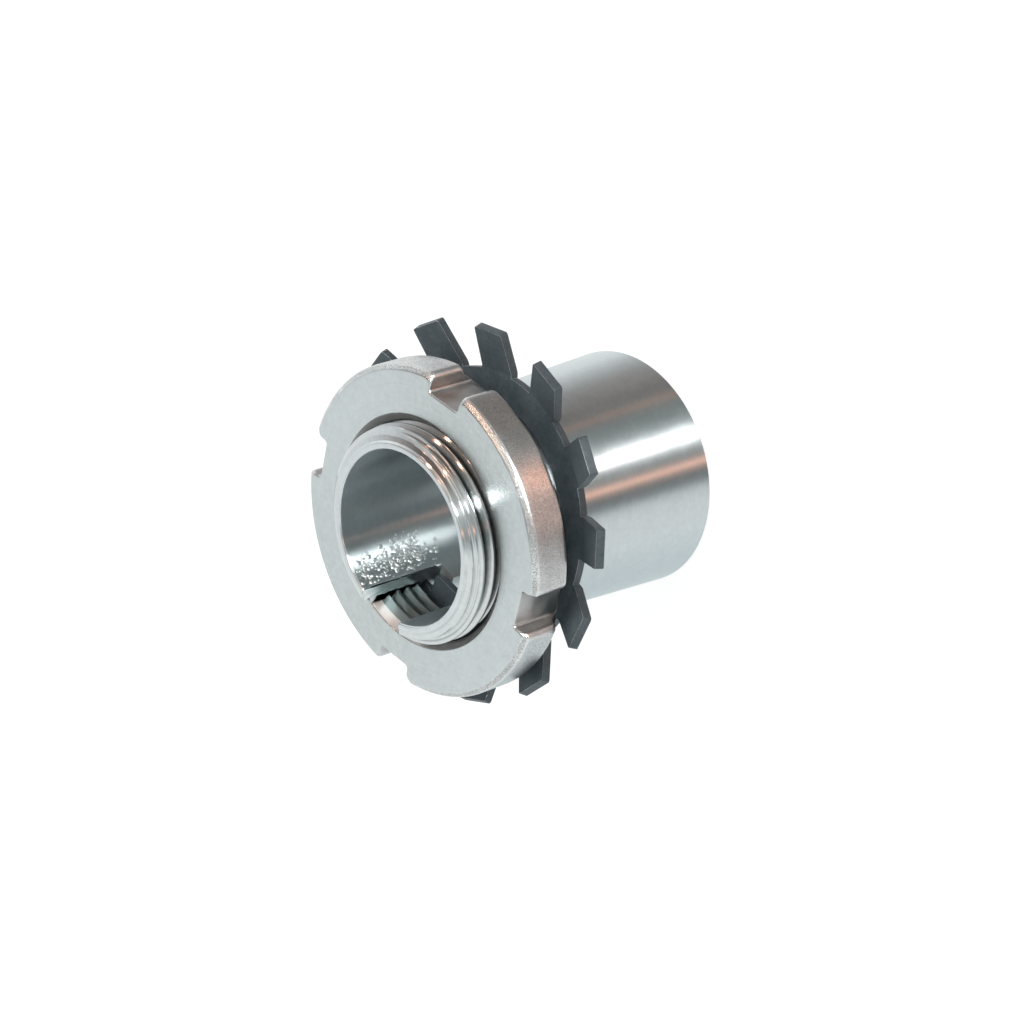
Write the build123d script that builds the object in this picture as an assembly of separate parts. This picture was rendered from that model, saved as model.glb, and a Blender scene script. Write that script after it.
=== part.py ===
from build123d import *
import os
from math import cos, radians, sin, tan

# A split tapered sleeve with a lock nut and a toothed lock washer on its threaded end.
# It stands on its large end, the threaded end up, and the wide slot faces +Y.
# The origin is the centre of the large end's face, and every size is in millimetres.

# Sleeve
bore_diameter = 20.0
sleeve_length = 35.0
taper_length = 24.0
taper_ratio = 12.0
taper_shoulder = 0.26
thread_diameter = 24.96
thread_pitch = 1.5
relief_width = 1.3
lead_in_height = 1.08
threaded_end_diameter = 21.44
threaded_end_bore_break = 0.12
large_end_bore_break = 0.5
large_end_edge_break = 0.2

# Slot for the washer's inner tab, and the slit that lets the sleeve close on its shaft
slot_side_play = 0.65
slot_end_clearance = 0.3
slot_corner_radius = 0.4
slit_width = 2.0

# Lock nut
nut_diameter = 38.0
nut_thickness = 7.0
nut_projection = 2.75
nut_contact_diameter = 32.0
nut_back_chamfer_height = 2.44
nut_back_edge_radius = 0.8
nut_front_chamfer = 0.67
nut_front_chamfer_height = 0.51
nut_thread_clearance = 0.05
nut_front_countersink = 0.92
nut_back_countersink = 0.35

# Spanner notches in the nut's rim
notch_count = 4
notch_width = 4.7
notch_depth = 2.35
notch_root_radius = 0.5
notch_mouth_radius = 0.7
notch_direction = 4.55

# Lock washer
washer_thickness = 1.0
washer_ring_diameter = 32.58
washer_lean = 7.13
washer_lean_direction = 108.5
washer_hole_clearance = 0.14
washer_nut_gap = 0.1

# Outer tabs, bent toward the nut
tab_count = 13
tab_length = 4.98
tab_root_width = 4.8
tab_tip_width = 4.38
tab_bend_radius = 0.6
tab_bend = 28.0
tab_corner_radius = 0.25
tab_turn = 3.07

# Bend and length of the three uneven tabs, counted round from the one beside the inner tab
uneven_tabs = {7: (25.0, 4.98), 8: (22.5, 5.43), 9: (21.0, 5.7)}

# Inner tab
inner_tab_width = 5.0
inner_tab_root_radius = 0.2
inner_tab_shaft_clearance = 0.4

# Sleeve radii
bore_radius = bore_diameter / 2
thread_radius = thread_diameter / 2
thread_root_radius = thread_radius - 0.6134 * thread_pitch
taper_end_radius = thread_radius + taper_shoulder
large_end_radius = taper_end_radius + taper_length / (2 * taper_ratio)

# Nut
nut_front = sleeve_length - nut_projection
nut_back = nut_front - nut_thickness
nut_radius = nut_diameter / 2
nut_contact_radius = nut_contact_diameter / 2
nut_bore_radius = thread_radius + nut_thread_clearance

# The washer's high side rests against the nut, and its low side hangs over the taper
lean_tan = tan(radians(washer_lean))
lean_sin = sin(radians(washer_lean))
lean_cos = cos(radians(washer_lean))
washer_height = nut_back - washer_nut_gap - nut_contact_radius * lean_tan
washer_low = washer_height - taper_end_radius * lean_tan - washer_thickness
low_side_reach = (
    taper_end_radius
    + (taper_length - washer_low) / (2 * taper_ratio)
    + washer_thickness * lean_sin
    + washer_hole_clearance
)
high_side_reach = taper_end_radius + washer_hole_clearance - washer_thickness * lean_sin
washer_hole_radius = (low_side_reach + high_side_reach) / 2 / lean_cos
washer_shift = (low_side_reach - high_side_reach) / 2
washer_ring_radius = washer_ring_diameter / 2

# The inner tab lies in the middle of the slot, just above its end
slot_width = inner_tab_width + 2 * slot_side_play
inner_tab_end_radius = bore_radius + inner_tab_shaft_clearance + washer_shift
inner_tab_rise = (bore_radius + inner_tab_shaft_clearance) * lean_tan
slot_end = washer_height + inner_tab_rise - washer_thickness - slot_end_clearance


def make_sleeve():
    outline = Polyline(
        (bore_radius + large_end_bore_break, 0),
        (large_end_radius - large_end_edge_break, 0),
        (large_end_radius - large_end_edge_break / (2 * taper_ratio), large_end_edge_break),
        (taper_end_radius, taper_length),
        (thread_root_radius, taper_length + taper_end_radius - thread_root_radius),
        (thread_root_radius, taper_length + relief_width),
        (thread_radius, taper_length + relief_width + thread_radius - thread_root_radius),
        (thread_radius, sleeve_length - lead_in_height),
        (threaded_end_diameter / 2, sleeve_length),
        (bore_radius + threaded_end_bore_break, sleeve_length),
        (bore_radius, sleeve_length - threaded_end_bore_break),
        (bore_radius, large_end_bore_break),
        close=True,
    )
    body = revolve(Plane.XZ * make_face(outline), Axis.Z)

    # Wide slot, open at the threaded end
    slot_height = sleeve_length - slot_end
    slot = Pos(0, slot_height) * Rectangle(slot_width, 2 * slot_height)
    slot_corners = slot.vertices().group_by(Axis.Y)[0]
    slot = fillet(slot_corners, slot_corner_radius)
    slot_plane = Plane(origin=(0, 0, slot_end), x_dir=(1, 0, 0), z_dir=(0, -1, 0))
    body -= extrude(slot_plane * slot, -2 * large_end_radius)

    # Narrow slit through the rest of the wall
    slit = Box(slit_width, 2 * large_end_radius, slot_end + 1, align=(Align.CENTER, Align.MIN, Align.MIN))
    body -= Pos(0, 0, -0.5) * slit
    return body


def make_nut():
    outline = Polyline(
        (nut_bore_radius + nut_back_countersink, nut_back),
        (nut_contact_radius, nut_back),
        (nut_radius, nut_back + nut_back_chamfer_height),
        (nut_radius, nut_front - nut_front_chamfer_height),
        (nut_radius - nut_front_chamfer, nut_front),
        (nut_bore_radius + nut_front_countersink, nut_front),
        (nut_bore_radius, nut_front - nut_front_countersink),
        (nut_bore_radius, nut_back + nut_back_countersink),
        close=True,
    )
    section = make_face(outline)
    back_edge = section.vertices().sort_by_distance((nut_radius, nut_back + nut_back_chamfer_height))[0]
    section = fillet(back_edge, nut_back_edge_radius)
    body = revolve(Plane.XZ * section, Axis.Z)

    # Notched plan of the nut, which trims the turned blank
    notch = Rectangle(2 * notch_depth, notch_width)
    plan = Circle(nut_radius)
    plan -= PolarLocations(nut_radius, notch_count) * notch
    corners = plan.vertices().group_by(lambda corner: round(Vector(corner).length, 2))
    plan = fillet(corners[0], notch_root_radius)
    rim_corners = [corner for corner in plan.vertices() if Vector(corner).length > nut_radius - 0.01]
    plan = fillet(rim_corners, notch_mouth_radius)
    blank = extrude(plan, nut_thickness)
    return body & Pos(0, 0, nut_back) * Rot(0, 0, notch_direction) * blank


def make_tab(bend, length):
    """One outer tab along +X, its upper face level with the ring's up to the bend."""
    start = (washer_ring_radius - 1.5, 0)
    bend_start = (washer_ring_radius, 0)
    bend_centre = (washer_ring_radius, tab_bend_radius)
    rise = Vector(cos(radians(bend)), sin(radians(bend)))
    fall = Vector(sin(radians(bend)), -cos(radians(bend)))
    inner_end = Vector(*bend_centre) + tab_bend_radius * fall
    outer_end = inner_end + washer_thickness * fall
    tip = inner_end + length * rise
    strip = (
        Line(start, bend_start)
        + CenterArc(bend_centre, tab_bend_radius, 270, bend)
        + Line(inner_end, tip)
        + Line(tip, tip + washer_thickness * fall)
        + Line(tip + washer_thickness * fall, outer_end)
        + CenterArc(bend_centre, tab_bend_radius + washer_thickness, 270, bend)
        + Line((washer_ring_radius, -washer_thickness), (start[0], -washer_thickness))
        + Line((start[0], -washer_thickness), start)
    )
    sheet = extrude(Plane.XZ * make_face(strip), tab_root_width / 2, both=True)

    # Plan that narrows the tab to its tip
    tip_radius = tip.X + washer_thickness * fall.X
    sides = Polyline(
        (start[0], tab_root_width / 2),
        (washer_ring_radius, tab_root_width / 2),
        (tip_radius, tab_tip_width / 2),
        (tip_radius, -tab_tip_width / 2),
        (washer_ring_radius, -tab_root_width / 2),
        (start[0], -tab_root_width / 2),
        close=True,
    )
    plan = make_face(sides)
    plan = fillet(plan.vertices().group_by(Axis.X)[-1], tab_corner_radius)
    return sheet & Pos(0, 0, -length) * extrude(plan, 3 * length)


def make_washer():
    inner_tab_length = washer_hole_radius + 1 - inner_tab_end_radius
    inner_tab = Rectangle(inner_tab_length, inner_tab_width, align=(Align.MIN, Align.CENTER))
    ring = Circle(washer_ring_radius) - Circle(washer_hole_radius)
    ring += Pos(inner_tab_end_radius, 0) * inner_tab
    roots = [
        corner
        for corner in ring.vertices()
        if abs(Vector(corner).length - washer_hole_radius) < 0.01 and abs(corner.Y) > 0.1
    ]
    ring = fillet(roots, inner_tab_root_radius)
    body = extrude(ring, -washer_thickness)
    for place in range(tab_count):
        tab = make_tab(*uneven_tabs.get(place, (tab_bend, tab_length)))
        body += Rot(0, 0, tab_turn + place * 360 / tab_count) * tab

    # Set to the slot, then leaned and shifted toward its low side
    high = (cos(radians(washer_lean_direction)), sin(radians(washer_lean_direction)))
    body = Rot(0, 0, 90) * body
    body = body.rotate(Axis((0, 0, 0), (high[1], -high[0], 0)), washer_lean)
    low_point = (
        -washer_shift * high[0],
        -washer_shift * high[1],
        washer_height - washer_shift * lean_tan,
    )
    return Pos(*low_point) * body


os.makedirs("parts", exist_ok=True)
export_step(make_sleeve(), "parts/adapter_sleeve.step")
export_step(make_nut(), "parts/lock_nut.step")
export_step(make_washer(), "parts/lock_washer.step")
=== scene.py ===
import math

import bmesh
import bpy
import numpy as np
from mathutils import Matrix, Vector
from mathutils.geometry import tessellate_polygon


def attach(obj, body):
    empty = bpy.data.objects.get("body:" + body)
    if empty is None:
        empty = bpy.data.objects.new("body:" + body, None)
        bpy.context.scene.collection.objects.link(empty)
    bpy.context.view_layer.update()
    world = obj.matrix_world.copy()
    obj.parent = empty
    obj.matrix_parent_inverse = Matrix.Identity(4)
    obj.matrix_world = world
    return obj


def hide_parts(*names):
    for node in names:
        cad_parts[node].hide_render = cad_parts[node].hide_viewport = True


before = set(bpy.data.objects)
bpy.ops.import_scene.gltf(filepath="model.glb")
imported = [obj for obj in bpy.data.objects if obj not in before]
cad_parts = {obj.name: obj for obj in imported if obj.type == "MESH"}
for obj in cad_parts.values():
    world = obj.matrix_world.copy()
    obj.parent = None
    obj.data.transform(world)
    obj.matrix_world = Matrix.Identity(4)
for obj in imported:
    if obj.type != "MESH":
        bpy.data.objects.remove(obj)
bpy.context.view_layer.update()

MM = 0.001

# Sizes in millimetres, as in the CAD model; a pair is a radius and a height, and a half is half a width
SLEEVE_LENGTH = 35.0
BORE_RADIUS = 10.0
LARGE_END_RADIUS = 13.74
TAPER_END = (12.74, 24.0)
TAPER_FALL = 24
SLOT_END = 23.14
SLOT_HALF = 3.15
SLIT_HALF = 1.0
PITCH = 1.5
THREAD_CREST = 12.48
THREAD_ROOT = 11.56
THREAD_PHASE = 33.78 - PITCH * 226.2 / 360
THREAD_START = 25.3
THREAD_TOP = 34.6
LIP_START = 33.25
LIP_FADE = 0.4
NUT_BACK = 25.25
NUT_FRONT = 32.25
NUT_RADIUS = 19.0
NUT_THREAD_GAP = 0.05
NUT_THREAD_CREST = 11.7
BACK_SINK_EDGE = (12.88, NUT_BACK)
FRONT_SINK_EDGE = (13.43, 32.19)
FRONT_SINK_FOOT = (12.65, 31.41)
NOTCH_COUNT = 4
NOTCH_HALF = 2.35
NOTCH_FLOOR = 16.65
NOTCH_ROOT = 0.5
NOTCH_MOUTH = 0.7
NOTCH_DIRECTION = math.radians(4.55)

# Distances within which points are joined, in metres, and the angle past which an edge stays sharp
WELD = 1e-6
SPECK = 2e-8
SHARP = math.radians(32)


# Mesh helpers

def add_object(name, data):
    added = bpy.data.objects.new(name, data)
    bpy.context.scene.collection.objects.link(added)
    return added


def add_mesh(name, vertices, faces, body, node=None):
    """A smooth piece on its body; one that replaces a node is welded and keeps its sharp edges."""
    mesh = bpy.data.meshes.new(name)
    mesh.from_pydata((np.asarray(vertices) * MM).tolist(), [], faces)
    bm = bmesh.new()
    bm.from_mesh(mesh)
    if node:
        bmesh.ops.remove_doubles(bm, verts=bm.verts, dist=WELD)
        bmesh.ops.dissolve_degenerate(bm, edges=bm.edges, dist=SPECK)
    bmesh.ops.recalc_face_normals(bm, faces=bm.faces)
    bm.to_mesh(mesh)
    bm.free()
    mesh.polygons.foreach_set("use_smooth", [True] * len(mesh.polygons))
    piece = add_object(name, mesh)
    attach(piece, body)
    if node:
        mesh.set_sharp_from_angle(angle=SHARP)
        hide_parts(node)
    return piece


def polar(radius, angle, height):
    """Points at an array of angles; radius and height are arrays as well or one number for all."""
    x, y = radius * np.cos(angle), radius * np.sin(angle)
    return np.stack(np.broadcast_arrays(x, y, height), axis=-1)


class Surface:
    """Vertices and faces gathered from several grids."""

    def __init__(self):
        self.points = []
        self.faces = []

    def add(self, points):
        start = len(self.points)
        self.points.extend(points)
        return start

    def grid(self, block, wrap=False):
        """Quads over an array of rows by columns of points; returns the vertex numbers."""
        rows, columns, _ = block.shape
        start = self.add(block.reshape(-1, 3).tolist())
        numbers = start + np.arange(rows * columns).reshape(rows, columns)
        self.join(numbers, wrap)
        return numbers

    def join(self, numbers, wrap=False):
        if wrap:
            numbers = np.hstack([numbers, numbers[:, :1]])
        a, b = numbers[:-1, :-1], numbers[:-1, 1:]
        c, d = numbers[1:, 1:], numbers[1:, :-1]
        self.faces.extend(np.stack([a, b, c, d], axis=-1).reshape(-1, 4).tolist())


def external_thread(axial):
    """Crest and root of the sleeve's thread at a height counted along its helix."""
    off = np.abs((axial - THREAD_PHASE + PITCH / 2) % PITCH - PITCH / 2)
    flank = THREAD_CREST - (off - PITCH / 16) / math.tan(math.radians(30))
    return np.clip(flank, THREAD_ROOT, THREAD_CREST)


def internal_thread(axial):
    return np.maximum(external_thread(axial) + NUT_THREAD_GAP, NUT_THREAD_CREST)


# Rows of points on one turn, counted along the axis from the middle of its crest
TURN_ROWS = (
    -0.75, -0.64, -0.6, -0.36, -0.12, -0.085, 0.0, 0.085, 0.11,
    0.15, 0.2, 0.23, 0.32, 0.41, 0.44, 0.52, 0.6, 0.64,
)


def helix_rows(low, high):
    """Heights along the helix, with rows at the corners of each turn's profile."""
    rows = []
    first = int((low - PITCH - THREAD_PHASE) // PITCH) - 1
    last = int((high - THREAD_PHASE) // PITCH) + 2
    for turn in range(first, last):
        rows.extend(THREAD_PHASE + turn * PITCH + row for row in TURN_ROWS)
    return np.array(rows)


def first_turn(axial, height):
    """The half-formed flank of the turn nearest the end, with its second small lip."""
    off = (axial - THREAD_PHASE + PITCH / 2) % PITCH - PITCH / 2
    crest = height - off
    lip_off = [0.094, 0.20, 0.23, 0.41, 0.44, 0.625]
    lip = np.interp(off, lip_off, [THREAD_CREST, 12.0, 11.96, 11.92, 11.88, THREAD_ROOT])
    share = np.clip((crest - LIP_START) / LIP_FADE, 0, 1) * (off > lip_off[0]) * (off < lip_off[-1])
    full = external_thread(axial)
    return full * (1 - share) + np.minimum(full, lip) * share


# Sleeve

def limit_radius(z):
    """Outer form of the threaded end before its thread is cut."""
    shape_z = [TAPER_END[1], 25.18, THREAD_START, 26.22, 33.92, THREAD_TOP]
    shape_r = [TAPER_END[0], THREAD_ROOT, THREAD_ROOT, THREAD_CREST, THREAD_CREST, 11.5]
    return np.interp(z, shape_z, shape_r)


def sweep(radius, half, columns):
    """Angles from one side of a gap, half a width on each side of +Y, round to its other side."""
    start = np.pi - np.arccos(half / radius)
    return start + np.linspace(0, 1, columns) * (2.5 * np.pi + (np.pi / 2 - start) - start)


SLOT_BEVEL = 0.13
WALL_STEP = 0.004

# Points of one row above the slot's end and below it
UPPER_COLUMNS = 384
LOWER_COLUMNS = 256

# Radius and height of the plain rows below the thread and over the sleeve's end
GROOVE = ((12.70, 24.03), (12.4, 24.34), (11.9, 24.84), (11.62, 25.12), (THREAD_ROOT, 25.2))
END_FACE = (
    (11.42, 34.63), (11.04, 34.72), (10.99, 34.74), (10.95, 34.77), (10.78, 34.94),
    (10.75, 34.965), (10.71, 34.985), (10.66, SLEEVE_LENGTH), (10.22, SLEEVE_LENGTH),
    (10.17, 34.99), (10.12, 34.96), (10.03, 34.87), (10.005, 34.83), (BORE_RADIUS, 34.78),
)


def sleeve_upper(surface):
    """The slotted end: rows run up the outside, over the end and down the bore."""
    rows = []

    def plain(radius, height):
        rows.append(polar(radius, sweep(radius, SLOT_HALF + SLOT_BEVEL, UPPER_COLUMNS), height))

    for height in (SLOT_END, 23.4, 23.7, 23.93):
        plain(TAPER_END[0] + (TAPER_END[1] - height) / TAPER_FALL, height)
    for radius, height in GROOVE:
        plain(radius, height)
    for axial in helix_rows(THREAD_START, THREAD_TOP):
        # The slot ends each row at an angle that depends on the radius there, so both are found in turn
        radius = np.full(UPPER_COLUMNS, 12.2)
        for _ in range(4):
            angle = sweep(radius, SLOT_HALF + SLOT_BEVEL, UPPER_COLUMNS)
            height = np.clip(axial + PITCH * angle / (2 * np.pi), THREAD_START, THREAD_TOP)
            cut = first_turn(height - PITCH * angle / (2 * np.pi), height)
            radius = np.minimum(limit_radius(height), cut)
        rows.append(polar(radius, angle, height))
    for radius, height in END_FACE:
        plain(radius, height)
    for height in np.linspace(THREAD_TOP, SLOT_END, 14):
        plain(BORE_RADIUS, height)
    numbers = surface.grid(np.array(rows))

    # Slot walls, each a flat face inside a small bevel
    for column, side in ((0, -1), (-1, 1)):
        outline = np.array([row[column] for row in rows])
        reach = np.sqrt(outline[:, 0] ** 2 + outline[:, 1] ** 2 - SLOT_HALF ** 2)
        flat = np.stack([reach, outline[:, 2]], axis=-1)
        keep = [0]
        lookup = [0]
        for index in range(1, len(flat)):
            if np.linalg.norm(flat[index] - flat[keep[-1]]) > WALL_STEP:
                keep.append(index)
            lookup.append(len(keep) - 1)
        ring = flat[keep]
        along = np.roll(ring, -1, axis=0) - np.roll(ring, 1, axis=0)
        along /= np.linalg.norm(along, axis=1)[:, None]
        inward = np.stack([-along[:, 1], along[:, 0]], axis=-1)
        ring = ring + inward * SLOT_BEVEL * 0.8
        start = surface.add([(side * SLOT_HALF, y, z) for y, z in ring])
        surface.faces.append([start + i for i in range(len(ring))])
        surface.join(np.array([numbers[:, column], [start + i for i in lookup]]))
        surface.faces.append([numbers[0, column], start, start + len(ring) - 1, numbers[-1, column]])
    surface.join(np.array([numbers[0], numbers[-1]]))


def sleeve_lower(surface):
    """The tapered body with its narrow slit, closed all round."""
    outline = [(10.52, 0.0), (13.36, 0.0), (13.45, 0.01), (13.54, 0.05), (13.66, 0.15), (13.715, 0.26)]
    outline += [(LARGE_END_RADIUS - z / TAPER_FALL, z) for z in np.linspace(0.4, SLOT_END, 14)]
    outline += [(BORE_RADIUS, SLOT_END)]
    outline += [(BORE_RADIUS, z) for z in np.linspace(20.0, 0.8, 9)]
    outline += [(10.01, 0.55), (10.08, 0.42), (10.42, 0.08)]
    rows = [polar(radius, sweep(radius, SLIT_HALF, LOWER_COLUMNS), height) for radius, height in outline]
    numbers = surface.grid(np.array(rows))
    surface.join(np.array([numbers[-1], numbers[0]]))
    surface.faces.append(numbers[:, 0].tolist())
    surface.faces.append(numbers[:, -1].tolist())


def build_sleeve():
    surface = Surface()
    sleeve_upper(surface)
    sleeve_lower(surface)
    return add_mesh("adapter_sleeve_body", surface.points, surface.faces, "sleeve", "adapter_sleeve")


# Lock nut

# Points of the arc between two notches, with its two ends
ARC_POINTS = 72

# Radius and height of the rings on the nut's contact face and in the mouth of its bore
CONTACT_FACE = (BACK_SINK_EDGE, (13.5, NUT_BACK), (15.8, NUT_BACK), (16.0, 25.27), (16.14, 25.36))
BORE_MOUTH = ((13.62, NUT_FRONT), (13.56, NUT_FRONT), (13.49, 32.235), FRONT_SINK_EDGE, FRONT_SINK_FOOT)

# Radius, height and widening of the notches, up the nut's back slope, round its edge and over its front one
BACK_SLOPE = ((16.55, 25.70, 0), (16.9, 25.985, 0), (17.5, 26.47, 0), (18.2, 27.04, 0), (18.6, 27.365, 0))
BACK_EDGE_CENTRE = (18.2, 28.07)
BACK_EDGE_RADIUS = 0.8
RIM_AND_FRONT_EDGE = (
    (NUT_RADIUS, 29.3, 0), (NUT_RADIUS, 30.6, 0), (NUT_RADIUS, 31.56, 0), (18.985, 31.68, 0),
    (18.92, 31.79, 0), (18.80, 31.89, 0), (18.64, 32.01, 0), (18.52, 32.10, 0.015), (18.43, 32.17, 0.05),
    (18.36, 32.215, 0.10), (18.29, 32.24, 0.15), (18.2, NUT_FRONT, 0.22), (18.14, NUT_FRONT, 0.26),
)


def notch_mouth(radius, half, rounding):
    """Distance along the notch to the centres of its rounded mouth, and their angle from its middle."""
    reach = math.sqrt((radius - rounding) ** 2 - (half + rounding) ** 2)
    return reach, math.atan2(half + rounding, reach)


def between_notches(direction, mouth_angle):
    """Angles from one notch to the next, without the two where their mouths begin."""
    return np.linspace(direction + mouth_angle, direction + math.pi / 2 - mouth_angle, ARC_POINTS)[1:-1]


def notched_outline(radius, grow):
    """Plan of the nut at one height; grow widens the notches where their edges are worn."""
    half = NOTCH_HALF + grow
    floor = NOTCH_FLOOR - grow
    depth = radius - floor
    open_notch = depth > 0.12
    mouth = min(NOTCH_MOUTH, 0.45 * depth) if open_notch else NOTCH_MOUTH
    root = min(NOTCH_ROOT, 0.4 * depth) if open_notch else NOTCH_ROOT
    x_mouth, mouth_angle = notch_mouth(radius if open_notch else NUT_RADIUS, half, mouth)
    points = []
    for notch in range(NOTCH_COUNT):
        local = []
        for t in np.linspace(0, 1, 7):
            turn = (1 - t) * (-mouth_angle) + t * (math.pi / 2)
            local.append((x_mouth + mouth * math.cos(turn), -(half + mouth) + mouth * math.sin(turn)))
        for t in (0.33, 0.66):
            local.append((x_mouth + t * (floor + root - x_mouth), -half))
        for t in np.linspace(0, 1, 5):
            turn = -math.pi / 2 - t * math.pi / 2
            local.append((floor + root + root * math.cos(turn), -(half - root) + root * math.sin(turn)))
        for t in (0.2, 0.4):
            local.append((floor, -(half - root) * (1 - 2 * t)))
        local += [(x, -y) for x, y in reversed(local)]
        if not open_notch:
            turns = np.linspace(-mouth_angle, mouth_angle, len(local))
            local = [(radius * math.cos(t), radius * math.sin(t)) for t in turns]
        direction = NOTCH_DIRECTION + notch * math.pi / 2
        c, s = math.cos(direction), math.sin(direction)
        points += [(x * c - y * s, x * s + y * c) for x, y in local]
        arc = between_notches(direction, mouth_angle)
        points += [(radius * math.cos(t), radius * math.sin(t)) for t in arc]
    return np.array(points)


def ring_angles():
    """Even angles for plain rings, one for each point of the notched outline."""
    mouth_angle = notch_mouth(NUT_RADIUS, NOTCH_HALF, NOTCH_MOUTH)[1]
    count = len(notched_outline(NUT_RADIUS, 0)) // NOTCH_COUNT - (ARC_POINTS - 2)
    angles = []
    for notch in range(NOTCH_COUNT):
        direction = NOTCH_DIRECTION + notch * math.pi / 2
        angles.extend(np.linspace(direction - mouth_angle, direction + mouth_angle, count))
        angles.extend(between_notches(direction, mouth_angle))
    return np.array(angles)


def build_nut():
    surface = Surface()
    angles = ring_angles()
    profile = list(BACK_SLOPE)
    for turn in np.radians(np.linspace(-50, 0, 6)):
        radius = BACK_EDGE_CENTRE[0] + BACK_EDGE_RADIUS * math.cos(turn)
        profile.append((radius, BACK_EDGE_CENTRE[1] + BACK_EDGE_RADIUS * math.sin(turn), 0))
    profile += RIM_AND_FRONT_EDGE
    levels = [polar(radius, angles, height) for radius, height in CONTACT_FACE]
    for radius, height, grow in profile:
        plan = notched_outline(radius, grow)
        levels.append(np.column_stack([plan, np.full(len(plan), height)]))
    outside = surface.grid(np.array(levels), wrap=True)[-1]
    mouth = [polar(radius, angles, height) for radius, height in BORE_MOUTH]
    inside = surface.grid(np.array(mouth), wrap=True)[0]
    loops = [[Vector(surface.points[i]) for i in loop] for loop in (outside, inside[::-1])]
    numbers = list(outside) + list(inside[::-1])
    surface.faces.extend([numbers[i] for i in triangle] for triangle in tessellate_polygon(loops))

    # Threaded bore with a countersink at each end
    turned = np.append(angles, angles[0] + 2 * np.pi)
    rows = []
    for axial in helix_rows(NUT_BACK, FRONT_SINK_FOOT[1])[::-1]:
        height = np.clip(axial + PITCH * turned / (2 * np.pi), NUT_BACK, FRONT_SINK_FOOT[1])
        front = FRONT_SINK_EDGE[0] - (FRONT_SINK_EDGE[1] - height)
        back = BACK_SINK_EDGE[0] - (height - BACK_SINK_EDGE[1])
        thread = internal_thread(height - PITCH * turned / (2 * np.pi))
        rows.append(polar(np.maximum.reduce([front, back, thread]), turned, height))
    surface.grid(np.array(rows))
    return add_mesh("lock_nut_body", surface.points, surface.faces, "nut", "lock_nut")


# Lock washer

WASHER_THICKNESS = 1.0
WASHER_HOLE = 13.053
WASHER_RING = 16.29
WASHER_SHIFT = 0.196
WASHER_HEIGHT = 23.149
WASHER_LEAN = math.radians(7.13)
WASHER_HIGH_SIDE = math.radians(108.5)
TAB_TURN = math.radians(3.07)
TAB_COUNT = 13
TAB_HALF = 2.39
TAB_ROOT_HALF = 2.4
TAB_NARROWING = 0.2
BEND_RADIUS = 0.6
INNER_TAB_HALF = 2.5

# Bend in degrees and length of the tabs: of most of them, and of the three uneven ones
TAB_SHAPE = (28.0, 4.98)
UNEVEN_TABS = {7: (25.0, 4.98), 8: (22.5, 5.43), 9: (21.0, 5.7)}

# Rows of the washer: radii of the ring, distances back from an outer tab's tip and places along the
# inner tab, with what the rounded corners take from half the width there
RING_ROWS = (WASHER_HOLE, 13.8, 14.9, WASHER_RING)
OUTER_TAB_ROWS = ((3.4, 0), (1.8, 0), (0.28, 0), (0.12, 0.04), (0.04, 0.12), (0, 0.25))
INNER_TAB_ROWS = ((12.2, 0), (11.4, 0), (10.75, 0), (10.64, 0.06), (10.6, 0.16))
BEND_STEPS = 5

# Columns: across each tab, and on the ring to each side of it
TAB_COLUMNS = 7
GAP_COLUMNS = 4

# The rubbed line along the washer's edges, and the angles past which an edge has one or stays sharp
RUBBED_WIDTH = 0.085
RUBBED_FROM = math.radians(40)
WASHER_SHARP = math.radians(42)


def tab_sections(bend, length):
    """Distance out, rise and half width of the tab's two faces, from the ring to the tip."""
    outer = BEND_RADIUS + WASHER_THICKNESS
    top = [(WASHER_RING + 0.01, 0)]
    bottom = [(WASHER_RING + 0.01, -WASHER_THICKNESS)]
    halves = [TAB_ROOT_HALF]
    for turn in np.linspace(0, bend, BEND_STEPS + 1)[1:]:
        s, c = math.sin(turn), math.cos(turn)
        top.append((WASHER_RING + BEND_RADIUS * s, BEND_RADIUS * (1 - c)))
        bottom.append((WASHER_RING + outer * s, BEND_RADIUS - outer * c))
        halves.append(TAB_HALF)
    (x_top, z_top), (x_bottom, z_bottom) = top[-1], bottom[-1]
    for short, trim in OUTER_TAB_ROWS:
        along = length - short
        step = (along * math.cos(bend), along * math.sin(bend))
        top.append((x_top + step[0], z_top + step[1]))
        bottom.append((x_bottom + step[0], z_bottom + step[1]))
        halves.append(TAB_HALF - TAB_NARROWING * along / length - trim)
    return zip(top, bottom, halves)


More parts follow.
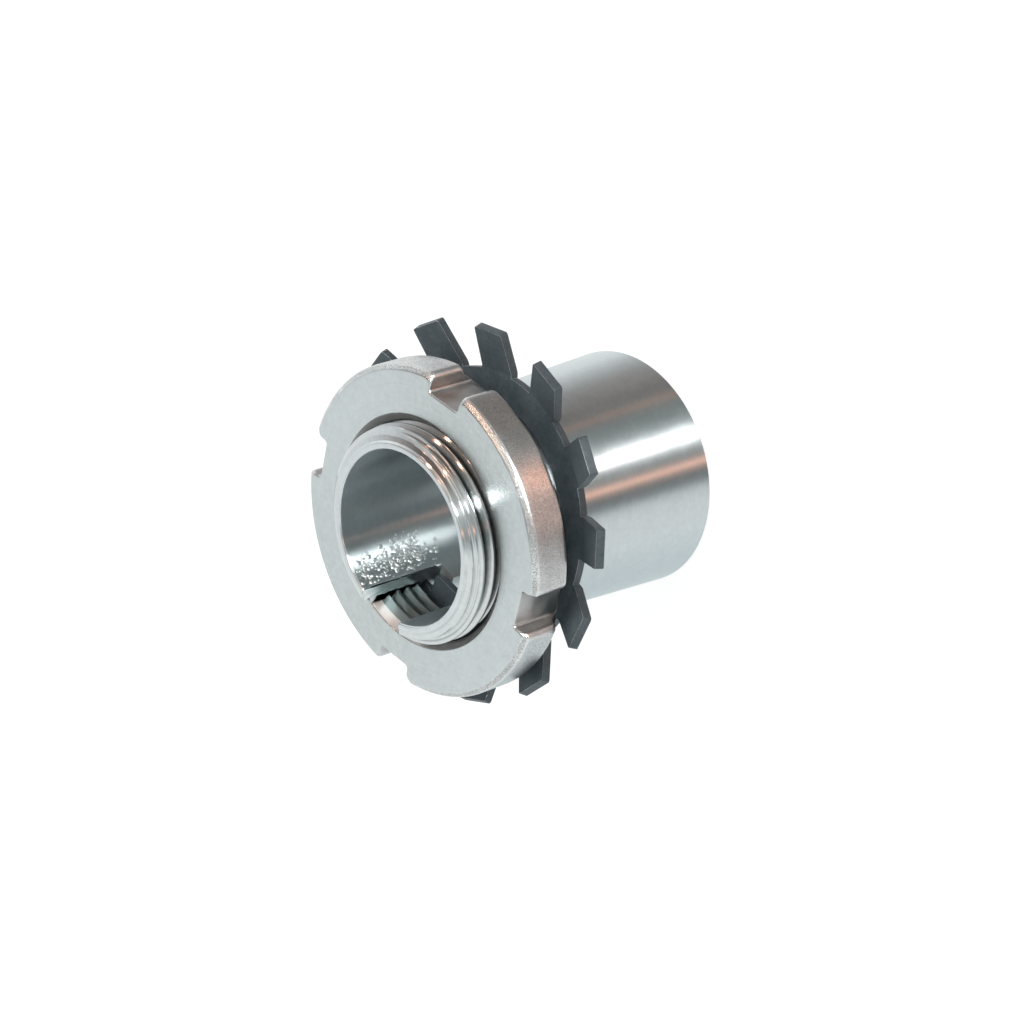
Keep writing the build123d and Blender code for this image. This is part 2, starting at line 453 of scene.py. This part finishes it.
def build_washer():
    cells = {}
    positions = {}
    quads = []
    across = np.linspace(-1, 1, TAB_COLUMNS)
    columns = TAB_COLUMNS + 2 * GAP_COLUMNS
    half_pitch = math.pi / TAB_COUNT

    def cell(sector, row, column):
        return cells.setdefault((sector % TAB_COUNT, row, column), len(cells))

    def tab_quads(sector, row):
        """Faces across a tab, between one row and the row before it."""
        for column in range(GAP_COLUMNS, GAP_COLUMNS + TAB_COLUMNS - 1):
            quads.append((
                cell(sector, row - 1, column), cell(sector, row, column),
                cell(sector, row, column + 1), cell(sector, row - 1, column + 1),
            ))

    for sector in range(TAB_COUNT):
        direction = math.pi / 2 + TAB_TURN + sector * 2 * half_pitch

        def place(number, x_top, z_top, x_bottom, z_bottom, y):
            c, s = math.cos(direction), math.sin(direction)
            positions[number] = (
                (x_top * c - y * s, x_top * s + y * c, z_top),
                (x_bottom * c - y * s, x_bottom * s + y * c, z_bottom),
            )

        # Toward the hole, the first sector turns back into line with the slot and the last gives way
        for row, radius in enumerate(RING_ROWS):
            inward = 1 - row / 3
            back = TAB_TURN * inward if sector == 0 else 0
            half = TAB_ROOT_HALF + 0.1 * inward
            side = math.asin(half / radius)
            first = -half_pitch - back
            last = half_pitch - (TAB_TURN * inward if sector == TAB_COUNT - 1 else 0)
            turns = list(np.linspace(first, -back - side, GAP_COLUMNS + 1)[:-1])
            turns += [math.asin(half * k / radius) - back for k in across]
            turns += list(np.linspace(side - back, last, GAP_COLUMNS + 1)[1:])
            for column, turn in enumerate(turns):
                owner = (sector, row, column) if column < columns - 1 else (sector + 1, row, 0)
                x, y = radius * math.cos(turn), radius * math.sin(turn)
                place(cell(*owner), x, 0, x, -WASHER_THICKNESS, y)
            if row:
                for column in range(columns - 1):
                    following = (sector, column + 1) if column + 1 < columns - 1 else (sector + 1, 0)
                    quads.append((
                        cell(sector, row - 1, column), cell(sector, row, column),
                        cell(following[0], row, following[1]), cell(following[0], row - 1, following[1]),
                    ))

        bend, length = UNEVEN_TABS.get(sector, TAB_SHAPE)
        for step, (upper, lower, half) in enumerate(tab_sections(math.radians(bend), length)):
            row = len(RING_ROWS) + step
            for index, k in enumerate(across):
                place(cell(sector, row, GAP_COLUMNS + index), *upper, *lower, half * k)
            tab_quads(sector, row)
        if sector == 0:
            c, s = math.cos(TAB_TURN), math.sin(TAB_TURN)
            for step, (x, trim) in enumerate(INNER_TAB_ROWS):
                for index, k in enumerate(across):
                    y = (INNER_TAB_HALF - trim) * k
                    reach = x * c + y * s
                    number = cell(sector, -1 - step, GAP_COLUMNS + index)
                    place(number, reach, 0, reach, -WASHER_THICKNESS, y * c - x * s)
                tab_quads(sector, -step)

    count = len(cells)
    upper = [positions[i][0] for i in range(count)]
    lower = [positions[i][1] for i in range(count)]
    edges = dict.fromkeys(pair for quad in quads for pair in zip(quad, quad[1:] + quad[:1]))
    faces = [list(quad) for quad in quads] + [[i + count for i in reversed(quad)] for quad in quads]
    for first, second in edges:
        if (second, first) not in edges:
            faces.append([second, first, first + count, second + count])

    # Leaned toward the nut and shifted toward its low side
    high = np.array([math.cos(WASHER_HIGH_SIDE), math.sin(WASHER_HIGH_SIDE)])
    turn = np.array(Matrix.Rotation(WASHER_LEAN, 3, (high[1], -high[0], 0)))
    points = np.array(upper + lower) @ turn.T
    height = WASHER_HEIGHT - WASHER_SHIFT * math.tan(WASHER_LEAN)
    points += (-WASHER_SHIFT * high[0], -WASHER_SHIFT * high[1], height)
    piece = add_mesh("lock_washer_body", points, faces, "washer", "lock_washer")

    # The cut sides come after both faces, and each edge gets a rubbed line
    for material in black_steel():
        piece.data.materials.append(material)
    for face in list(piece.data.polygons)[2 * len(quads):]:
        face.material_index = CUT
    bm = bmesh.new()
    bm.from_mesh(piece.data)
    corners = [e for e in bm.edges if len(e.link_faces) == 2 and e.calc_face_angle() > RUBBED_FROM]
    bmesh.ops.bevel(
        bm, geom=corners, offset=RUBBED_WIDTH * MM, segments=2, affect="EDGES", clamp_overlap=True,
        material=RUBBED,
    )
    bm.to_mesh(piece.data)
    bm.free()
    piece.data.set_sharp_from_angle(angle=WASHER_SHARP)
    return piece


# Oil droplets left on the lower side of the bore

DROPLETS = 330
DROPLET_TURNS = np.linspace(0, 2 * np.pi, 11)[:-1]

# Where they crowd: share, middle and spread in height, and middle and spread in degrees round the bore
CROWDS = ((1.0, 28.2, 3.4, 58.5, 7.5), (0.14, 26.5, 3.0, 50, 7.0), (0.45, 33.6, 1.1, 61, 7.5))


def crowding(height, angle):
    """How likely a droplet is to lie there."""
    return sum(
        share * math.exp(-((height - middle) / spread) ** 2 - ((angle - turn) / turn_spread) ** 2)
        for share, middle, spread, turn, turn_spread in CROWDS
    )


def build_droplets():
    chance = np.random.default_rng(7)
    surface = Surface()
    count = 0
    while count < DROPLETS:
        angle, height = chance.uniform(42, 76), chance.uniform(21.5, 34.6)
        if chance.uniform() > crowding(height, angle):
            continue
        if math.radians(90 - angle) * BORE_RADIUS < SLOT_HALF + 0.45:
            continue
        count += 1
        size = 0.08 + 0.19 * chance.uniform() ** 1.8
        long = size * chance.uniform(1.0, 1.5)
        rise = size * chance.uniform(0.42, 0.6)
        rings = ((1.0, -0.03), (0.93, 0.3 * rise), (0.72, 0.68 * rise), (0.4, 0.92 * rise), (0.12, rise))
        block = []
        for reach, lift in rings:
            turned = math.radians(angle) + reach * size * np.cos(DROPLET_TURNS) / BORE_RADIUS
            block.append(polar(BORE_RADIUS - lift, turned, height + reach * long * np.sin(DROPLET_TURNS)))
        numbers = surface.grid(np.array(block), wrap=True)
        surface.faces.append(numbers[-1].tolist())
        surface.faces.append(numbers[0][::-1].tolist())
    return add_mesh("oil_droplets", surface.points, surface.faces, "sleeve")


# Materials

# Places of the sleeve's and the nut's materials, and of the washer's after that of its faces
GROUND, BORE, THREAD, END, WALL = range(5)
SATIN, RIM, INNER, NOTCH, EDGE, SINK = range(6)
CUT, RUBBED = 1, 2

# Depths of the relief in metres: turned rings, the rim's grain and the blackened steel's
RING_DEPTH = 0.00001
GRAIN_DEPTH = 0.00002
CAST_DEPTH = 0.00003


class Nodes:
    """Short calls for building one node tree."""

    def __init__(self, name, world=False):
        if world:
            self.owner = bpy.data.worlds.new(name)
        else:
            self.owner = bpy.data.materials.new(name)
        self.owner.use_nodes = True
        self.tree = self.owner.node_tree
        self.tree.nodes.clear()
        if not world:
            output = self.tree.nodes.new("ShaderNodeOutputMaterial")
            self.shader = self.tree.nodes.new("ShaderNodeBsdfPrincipled")
            self.link(self.shader.outputs[0], output.inputs[0])

    def link(self, source, target):
        self.tree.links.new(source, target)

    def put(self, socket, value):
        if isinstance(value, bpy.types.NodeSocket):
            self.link(value, socket)
        elif isinstance(value, (int, float)):
            socket.default_value = value
        else:
            alpha = (1.0,) if len(value) == 3 and socket.type == "RGBA" else ()
            socket.default_value = tuple(value) + alpha

    def math(self, kind, *values):
        node = self.tree.nodes.new("ShaderNodeMath")
        node.operation = kind
        for socket, value in zip(node.inputs, values):
            self.put(socket, value)
        return node.outputs[0]

    def split(self, vector):
        node = self.tree.nodes.new("ShaderNodeSeparateXYZ")
        self.link(vector, node.inputs[0])
        return node.outputs[0], node.outputs[1], node.outputs[2]

    def place(self):
        return self.tree.nodes.new("ShaderNodeTexCoord").outputs["Object"]

    def coordinates(self):
        """Place, height, distance from the axis and turn round it, in metres and radians."""
        place = self.place()
        x, y, z = self.split(place)
        square = self.math("ADD", self.math("MULTIPLY", x, x), self.math("MULTIPLY", y, y))
        return place, z, self.math("SQRT", square), self.math("ARCTAN2", y, x)

    def vector(self, x, y, z):
        node = self.tree.nodes.new("ShaderNodeCombineXYZ")
        for socket, value in zip(node.inputs, (x, y, z)):
            self.put(socket, value)
        return node.outputs[0]

    def noise(self, vector, scale, detail=4.0, rough=0.55):
        node = self.tree.nodes.new("ShaderNodeTexNoise")
        self.put(node.inputs["Vector"], vector)
        self.put(node.inputs["Scale"], scale)
        self.put(node.inputs["Detail"], detail)
        self.put(node.inputs["Roughness"], rough)
        return node.outputs[0]

    def span(self, value, low, high, out_low=0.0, out_high=1.0):
        node = self.tree.nodes.new("ShaderNodeMapRange")
        self.put(node.inputs["From Min"], low)
        self.put(node.inputs["From Max"], high)
        self.put(node.inputs["To Min"], out_low)
        self.put(node.inputs["To Max"], out_high)
        self.put(node.inputs["Value"], value)
        return node.outputs[0]

    def mix(self, share, first, second, clamp=True):
        node = self.tree.nodes.new("ShaderNodeMix")
        node.data_type = "RGBA"
        node.clamp_factor = clamp
        self.put(node.inputs[0], share)
        self.put(node.inputs[6], first)
        self.put(node.inputs[7], second)
        return node.outputs[2]

    def bump(self, height, strength, distance):
        node = self.tree.nodes.new("ShaderNodeBump")
        self.put(node.inputs["Strength"], strength)
        self.put(node.inputs["Distance"], distance)
        self.put(node.inputs["Height"], height)
        return node.outputs[0]

    def pointiness(self):
        return self.tree.nodes.new("ShaderNodeNewGeometry").outputs["Pointiness"]

    def ringwise(self):
        """Scratches run round the axis, so gloss spreads along it."""
        node = self.tree.nodes.new("ShaderNodeTangent")
        node.direction_type = "RADIAL"
        node.axis = "Z"
        self.link(node.outputs[0], self.shader.inputs["Tangent"])

    def set(self, name, value):
        self.put(self.shader.inputs[name], value)


def turned_steel(name, tint, rough, stretch, groove, groove_scale, grain=0.0, threaded=False):
    """Machined steel: fine rings round the axis over a faint cloudiness; a thread has painted shade in its
    roots and slightly darker crests.
    """
    n = Nodes(name)
    place, z, across, turn = n.coordinates()
    rings = n.noise(n.vector(n.math("MULTIPLY", turn, 0.0006), across, z), groove_scale, 3.0, 0.65)
    cloud = n.noise(place, 520.0, 3.0, 0.55)
    fine = n.noise(place, 4200.0, 3.0, 0.6)
    mottle = n.noise(place, 1500.0, 4.0, 0.65)
    mixed = n.math("ADD", n.math("MULTIPLY", rings, 0.25), n.math("MULTIPLY", cloud, 0.3))
    mixed = n.math("ADD", mixed, n.math("MULTIPLY", mottle, 0.45))
    dull = tuple(c * 0.88 for c in tint)
    clean = n.mix(n.span(mixed, 0.36, 0.62), dull, tint)
    if threaded:
        # Painted shade: dark in the thread's roots, except near its end, and a little darker on the crests
        worn = n.span(across, 0.01236, 0.01246, 1.0, 0.72)
        root = n.math("MAXIMUM", n.span(across, 0.01170, 0.01212, 0.18, 1.0), n.span(z, 0.0336, 0.0339))
        painted_shade = n.math("MULTIPLY", root, worn)
        clean = n.mix(painted_shade, (0.02, 0.025, 0.025), clean)
    n.set("Base Color", clean)
    n.set("Metallic", 1.0)
    n.set("Roughness", n.span(cloud, 0.3, 0.7, rough, rough * 1.11))
    n.set("Anisotropic", stretch)
    n.set("Anisotropic Rotation", 0.25)
    n.ringwise()
    relief = n.math("ADD", rings, n.math("MULTIPLY", fine, grain))
    n.set("Normal", n.bump(relief, groove, RING_DEPTH))
    return n.owner


def blasted_steel(name, dark, light, rough, grain_scale):
    """The nut's rim and its rubbed front edge: a fine bead-like grain, bright where it is worn."""
    n = Nodes(name)
    place = n.place()
    grain = n.noise(place, grain_scale, 2.0, 0.6)
    blotch = n.noise(place, 420.0, 4.0, 0.6)
    worn = n.span(n.pointiness(), 0.505, 0.56)
    cast = n.mix(n.span(blotch, 0.35, 0.65), dark, light)
    speck = n.mix(n.span(grain, 0.36, 0.60), tuple(c * 0.74 for c in dark), cast)
    n.set("Base Color", n.mix(worn, speck, (0.78, 0.79, 0.79)))
    n.set("Metallic", 1.0)
    n.set("Roughness", n.span(grain, 0.35, 0.65, rough + 0.06, rough - 0.06))
    n.set("Normal", n.bump(grain, 0.9, GRAIN_DEPTH))
    return n.owner


def milled_steel(name, dark, light, edge):
    """Notches and slot: smooth, without the rim's grain, and bright on their worn edges."""
    n = Nodes(name)
    place, z, across, turn = n.coordinates()
    stretched = n.vector(n.math("MULTIPLY", across, 0.15), n.math("MULTIPLY", turn, 0.003), z)
    lines = n.noise(stretched, 3800.0, 3.0, 0.6)
    cloud = n.noise(place, 500.0, 3.0, 0.5)
    worn = n.span(n.pointiness(), 0.51, 0.57)
    n.set("Base Color", n.mix(worn, n.mix(n.span(cloud, 0.35, 0.65), dark, light), edge))
    n.set("Metallic", 1.0)
    n.set("Roughness", n.span(cloud, 0.3, 0.7, 0.30, 0.40))
    n.set("Normal", n.bump(lines, 0.1, RING_DEPTH))
    return n.owner


def black_steel():
    """Blackened spring steel: its faces, its cut sides and the thin line where edges have rubbed bare."""
    owners = []
    for name, dark, light, metal, rough in (
        ("blackened_steel", (0.055, 0.071, 0.080), (0.091, 0.111, 0.123), 0.0, 0.50),
        ("blackened_cut", (0.061, 0.075, 0.084), (0.094, 0.112, 0.123), 0.0, 0.50),
        ("rubbed_edge", (0.30, 0.33, 0.34), (0.92, 0.95, 0.96), 0.9, 0.35),
    ):
        n = Nodes(name)
        place = n.place()
        cloud = n.noise(place, 320.0, 5.0, 0.62)
        fine = n.noise(place, 2400.0, 3.0, 0.6)
        share = n.math("ADD", n.math("MULTIPLY", cloud, 0.65), n.math("MULTIPLY", fine, 0.35))
        n.set("Base Color", n.mix(n.span(share, 0.40, 0.60), dark, light))
        n.set("Metallic", metal)
        n.set("Specular IOR Level", 0.35)
        n.set("Roughness", n.span(cloud, 0.3, 0.7, rough * 0.85, rough * 1.15))
        n.set("Normal", n.bump(n.math("ADD", n.math("MULTIPLY", fine, 0.4), cloud), 0.25, CAST_DEPTH))
        owners.append(n.owner)
    return owners


def clear_oil():
    """Small beads that mirror what is round them, as oil on bright steel does."""
    n = Nodes("oil_beads")
    cloud = n.noise(n.place(), 2500.0, 2.0, 0.5)
    n.set("Base Color", n.mix(n.span(cloud, 0.35, 0.65), (0.82, 0.87, 0.88), (0.95, 0.98, 0.98)))
    n.set("Metallic", 1.0)
    n.set("Roughness", n.span(cloud, 0.3, 0.7, 0.29, 0.36))
    return n.owner


def paint(piece, materials, choose):
    """Gives each face a material, by its middle in millimetres and how upright its normal stands."""
    for material in materials:
        piece.data.materials.append(material)
    for face in piece.data.polygons:
        x, y, z = face.center / MM
        face.material_index = choose(x, math.hypot(x, y), z, abs(face.normal.z))


def build_materials(sleeve, nut, droplets):
    ground = turned_steel("ground_steel", (0.60, 0.65, 0.66), 0.285, 1.0, 0.16, 5200.0, 0.1)
    bore = turned_steel("bore_steel", (0.52, 0.58, 0.595), 0.30, 1.0, 0.10, 4200.0, 0.1)
    thread = turned_steel("thread_steel", (0.68, 0.70, 0.70), 0.13, 0.6, 0.12, 6000.0, 0.1, threaded=True)
    end = turned_steel("end_steel", (0.70, 0.73, 0.74), 0.22, 0.8, 0.12, 6000.0, 0.1)
    satin = turned_steel("satin_steel", (0.63, 0.67, 0.67), 0.235, 0.8, 0.18, 4600.0, 0.3)
    # Painted shade: the nut's thread, hidden inside the sleeve, gets a much darker steel colour
    inner = turned_steel("nut_thread_painted_shade", (0.18, 0.22, 0.22), 0.40, 0.2, 0.12, 6000.0, 0.4)
    countersink = turned_steel("countersink_steel", (0.62, 0.605, 0.595), 0.42, 0.2, 0.12, 6000.0, 0.4)
    wall = milled_steel("slot_steel", (0.29, 0.335, 0.34), (0.41, 0.455, 0.46), (0.55, 0.60, 0.60))
    notch = milled_steel("notch_steel", (0.42, 0.41, 0.40), (0.56, 0.56, 0.555), (0.66, 0.66, 0.65))
    rim = blasted_steel("blasted_steel", (0.50, 0.51, 0.51), (0.63, 0.65, 0.65), 0.36, 6200.0)
    edge = blasted_steel("rubbed_steel", (0.60, 0.60, 0.59), (0.78, 0.79, 0.78), 0.19, 5600.0)

    def sleeve_face(x, across, z, upright):
        if across < BORE_RADIUS + 0.02:
            return BORE
        if z > SLOT_END and abs(x) < SLOT_HALF + 0.02 and across < THREAD_CREST - 0.01 and upright < 0.5:
            return WALL
        if z > SLEEVE_LENGTH - 0.1 and upright > 0.9:
            return END
        return THREAD if z > TAPER_END[1] + 0.1 else GROUND

    def nut_face(x, across, z, upright):
        if across < FRONT_SINK_EDGE[0]:
            return INNER if z < FRONT_SINK_FOOT[1] + 0.01 else SINK
        if z > 31.7 and across > 18.1 and upright > 0.3:
            return EDGE if z < NUT_FRONT - 0.03 else SATIN
        if across < 18.4:
            return NOTCH if upright < 0.3 and across > 16.3 else SATIN
        return RIM

    paint(sleeve, [ground, bore, thread, end, wall], sleeve_face)
    paint(nut, [satin, rim, inner, notch, edge, countersink], nut_face)
    droplets.data.materials.append(clear_oil())


# Camera, stage and light

# Direction from the part to the photograph's camera
CAMERA_BACK = (-0.530906, -0.557837, 0.637932)


def build_camera():
    data = bpy.data.cameras.new("camera")
    data.sensor_width = 36.0
    data.lens = 113.2736
    data.clip_start = 0.01
    data.clip_end = 20.0
    camera = add_object("camera", data)
    right = (-0.640779, -0.228370, -0.732973)
    up = (0.554564, -0.797913, -0.236207)
    place = (-0.193678, -0.201973, 0.250297)
    camera.matrix_world = Matrix(list(zip(right, up, CAMERA_BACK, place)) + [(0, 0, 0, 1)])
    bpy.context.scene.camera = camera
    bpy.context.scene.view_settings.view_transform = "Standard"


def build_stage():
    mesh = bpy.data.meshes.new("floor")
    mesh.from_pydata([(-3, -3, 0), (3, -3, 0), (3, 3, 0), (-3, 3, 0)], [], [(0, 1, 2, 3)])
    floor = add_object("floor", mesh)
    floor.visible_glossy = False
    n = Nodes("floor_white")
    path = n.tree.nodes.new("ShaderNodeLightPath")
    n.set("Base Color", (0.4, 0.4, 0.4))
    n.set("Roughness", 1.0)
    n.set("Specular IOR Level", 0.0)
    n.set("Emission Color", (1.0, 1.0, 1.0))
    n.set("Emission Strength", n.math("MULTIPLY", path.outputs["Is Camera Ray"], 0.72))
    mesh.materials.append(n.owner)


# Shades of the studio, each after the direction in degrees of the surface that mirrors it to the
# photograph's camera. The lists go from upright surfaces to level ones, which mirror the ceiling
WALLS = [
    (0, 0.84, 0.90, 0.91), (142, 0.82, 0.90, 0.91), (166, 0.89, 0.97, 1.00), (188, 1.10, 1.12, 1.12),
    (201, 1.06, 1.05, 1.05), (205, 0.94, 0.94, 0.94), (207.3, 0.64, 0.65, 0.65), (209.5, 0.32, 0.33, 0.34),
    (212.5, 0.24, 0.24, 0.24), (214.8, 0.33, 0.28, 0.27), (216.5, 0.95, 0.60, 0.48),
    (218.1, 2.30, 1.25, 0.95), (219.6, 0.70, 0.50, 0.42), (221.8, 0.42, 0.41, 0.40), (226, 0.42, 0.44, 0.43),
    (229.2, 0.60, 0.61, 0.60), (230.2, 1.25, 1.25, 1.24), (231.4, 1.25, 1.25, 1.24),
    (232.4, 0.60, 0.61, 0.60), (236.3, 0.50, 0.52, 0.52), (241.5, 0.36, 0.40, 0.39), (246, 0.29, 0.32, 0.32),
    (250.5, 0.30, 0.29, 0.28), (252.8, 0.56, 0.35, 0.28), (255, 0.28, 0.26, 0.25), (260, 0.25, 0.23, 0.22),
    (273, 0.46, 0.43, 0.42), (280.6, 0.72, 0.72, 0.73), (292, 1.24, 1.26, 1.26), (302, 1.28, 1.30, 1.29),
    (318, 0.95, 1.00, 1.00),
]
MIDDLE = [
    (0, 0.90, 0.94, 0.95), (200, 1.00, 1.02, 1.02), (208, 0.70, 0.75, 0.76), (214, 0.48, 0.53, 0.54),
    (222, 0.58, 0.61, 0.61), (230, 0.90, 0.90, 0.90), (240, 0.72, 0.73, 0.72), (250, 0.56, 0.53, 0.51),
    (262, 0.46, 0.42, 0.40), (276, 0.52, 0.50, 0.49), (290, 0.85, 0.85, 0.85), (310, 0.98, 1.00, 1.00),
]
RISE = [
    (0, 0.90, 0.94, 0.95), (188, 0.75, 0.78, 0.78), (195, 0.55, 0.60, 0.60), (202, 1.10, 1.15, 1.15),
    (212, 0.74, 0.78, 0.78), (224, 0.60, 0.62, 0.62), (234, 0.80, 0.76, 0.74), (242, 0.98, 0.90, 0.86),
    (250, 1.95, 1.60, 1.38), (257, 1.30, 0.96, 0.80), (265, 0.75, 0.70, 0.68), (290, 0.64, 0.66, 0.67),
    (300, 0.86, 0.90, 0.92), (340, 0.95, 0.98, 0.99),
]
FLANKS = [
    (0, 0.92, 0.96, 0.97), (196, 1.02, 1.06, 1.06), (206, 0.86, 0.90, 0.91), (210.5, 0.42, 0.48, 0.50),
    (214, 0.32, 0.38, 0.40), (217.8, 0.52, 0.42, 0.40), (220, 0.38, 0.44, 0.46), (225, 0.46, 0.53, 0.55),
    (228, 0.58, 0.62, 0.62), (230.0, 1.50, 1.50, 1.50), (231.6, 1.50, 1.50, 1.50), (232.9, 0.66, 0.68, 0.67),
    (240, 0.46, 0.50, 0.49), (246, 0.32, 0.30, 0.28), (251, 0.20, 0.16, 0.14), (262, 0.17, 0.14, 0.125),
    (276, 0.18, 0.155, 0.145), (288, 0.34, 0.31, 0.30), (298, 0.50, 0.48, 0.48), (310, 0.70, 0.72, 0.74),
    (325, 0.86, 0.90, 0.92),
]
CEILING = (0.94, 0.97, 0.98)
PLAIN_LIGHT = (0.92, 0.95, 0.96)
WHITE = (1.0, 1.0, 1.0)
STRIP = (18.0, 18.0, 18.0)

COPPER = (1.0, 0.60, 0.42)
DEEP_COPPER = (1.0, 0.34, 0.15)

# Place, aim, width in metres, power and colour of the copper-coloured lamps
GLINTS = [
    ((0.1229, -0.1518, 0.4923), (0, 0, 0.032), 0.030, 0.045, COPPER),
    ((0.2681, -0.1366, 0.4313), (0, 0, 0.032), 0.026, 0.035, COPPER),
    ((0.1977, -0.2931, 0.3856), (0, 0, 0.032), 0.040, 0.05, COPPER),
    ((-0.0271, -0.0371, 0.0073), (-0.0120, -0.0148, 0.0296), 0.010, 0.0008, DEEP_COPPER),
]


def build_world():
    n = Nodes("studio", world=True)
    bpy.context.scene.world = n.owner
    output = n.tree.nodes.new("ShaderNodeOutputWorld")

    # The surface that mirrors a direction to the camera faces halfway between the two
    half = n.tree.nodes.new("ShaderNodeVectorMath")
    half.operation = "ADD"
    half.inputs[1].default_value = CAMERA_BACK
    n.link(n.tree.nodes.new("ShaderNodeTexCoord").outputs["Generated"], half.inputs[0])
    unit = n.tree.nodes.new("ShaderNodeVectorMath")
    unit.operation = "NORMALIZE"
    n.link(half.outputs[0], unit.inputs[0])
    x, y, z = n.split(unit.outputs[0])
    turn = n.math("FRACT", n.math("ADD", n.math("DIVIDE", n.math("ARCTAN2", y, x), 2 * math.pi), 1.0))

    def ring(shades):
        ramp = n.tree.nodes.new("ShaderNodeValToRGB")
        n.link(turn, ramp.inputs[0])
        stops = ramp.color_ramp.elements
        for stop in stops:
            stop.color = shades[0][1:] + (1.0,)
        stops[0].position = 0.0
        stops[1].position = 1.0
        for degrees, *shade in shades[1:]:
            stop = stops.new(degrees / 360)
            stop.color = tuple(shade) + (1.0,)
        return ramp.outputs[0]

    walls = ring(WALLS)
    flanks = ring(FLANKS)
    studio = n.mix(n.span(z, 0.30, 0.42), walls, ring(MIDDLE))
    studio = n.mix(n.span(z, 0.66, 0.69), studio, walls)
    studio = n.mix(n.span(z, 0.74, 0.77), studio, ring(RISE))
    studio = n.mix(n.span(z, 0.828, 0.848), studio, flanks)
    studio = n.mix(n.span(z, 0.972, 0.992), studio, CEILING)

    # Narrow bright strip between two sides, wider and stronger for surfaces whose normal rises by 40 degrees
    left = n.span(z, 0.34, 0.42, 228.4 / 360, 230.1 / 360)
    right = n.span(z, 0.34, 0.42, 232.8 / 360, 232.3 / 360)
    deep = n.math("MULTIPLY", n.span(z, 0.52, 0.60), n.span(z, 0.74, 0.71))
    right = n.math("ADD", right, n.math("MULTIPLY", deep, 2.2 / 360))
    beside = n.span(n.math("SUBTRACT", turn, left), -0.003, 0.003)
    beside = n.math("MULTIPLY", beside, n.span(n.math("SUBTRACT", turn, right), 0.003, -0.003))
    level = n.math("ADD", n.span(z, 0.22, 0.42), n.math("MULTIPLY", deep, 2.2))
    level = n.math("MULTIPLY", level, n.span(z, 0.71, 0.75, 1.4, 0.0))
    studio = n.mix(n.math("MULTIPLY", beside, level), studio, STRIP, clamp=False)

    # Only glossy rays see the studio; the camera and transmitted rays see white
    path = n.tree.nodes.new("ShaderNodeLightPath")
    shade = n.mix(path.outputs["Is Glossy Ray"], PLAIN_LIGHT, studio)
    plain = n.math("MAXIMUM", path.outputs["Is Camera Ray"], path.outputs["Is Transmission Ray"])
    shade = n.mix(plain, shade, WHITE)
    background = n.tree.nodes.new("ShaderNodeBackground")
    n.link(shade, background.inputs[0])
    n.link(background.outputs[0], output.inputs[0])


def add_lamp(name, place, aim, size, power):
    data = bpy.data.lights.new(name, "AREA")
    data.size = size
    data.energy = power
    lamp = add_object(name, data)
    lamp.location = place
    lamp.rotation_euler = (Vector(aim) - Vector(place)).to_track_quat("-Z", "Y").to_euler()
    return lamp


def build_lamps():
    softbox = add_lamp("softbox", (0.15, -0.45, 0.7), (0, 0, 0), 0.5, 1.6)
    softbox.visible_glossy = False

    # Copper-coloured glints: three over the thread, and one low beside the nut's rim
    for place, aim, size, power, colour in GLINTS:
        lamp = add_lamp("copper_glint", place, aim, size, power)
        lamp.data.shape = "DISK"
        lamp.data.color = colour
        lamp.visible_camera = False


build_camera()
build_stage()
build_world()
build_lamps()
sleeve = build_sleeve()
nut = build_nut()
washer = build_washer()
droplets = build_droplets()
build_materials(sleeve, nut, droplets)
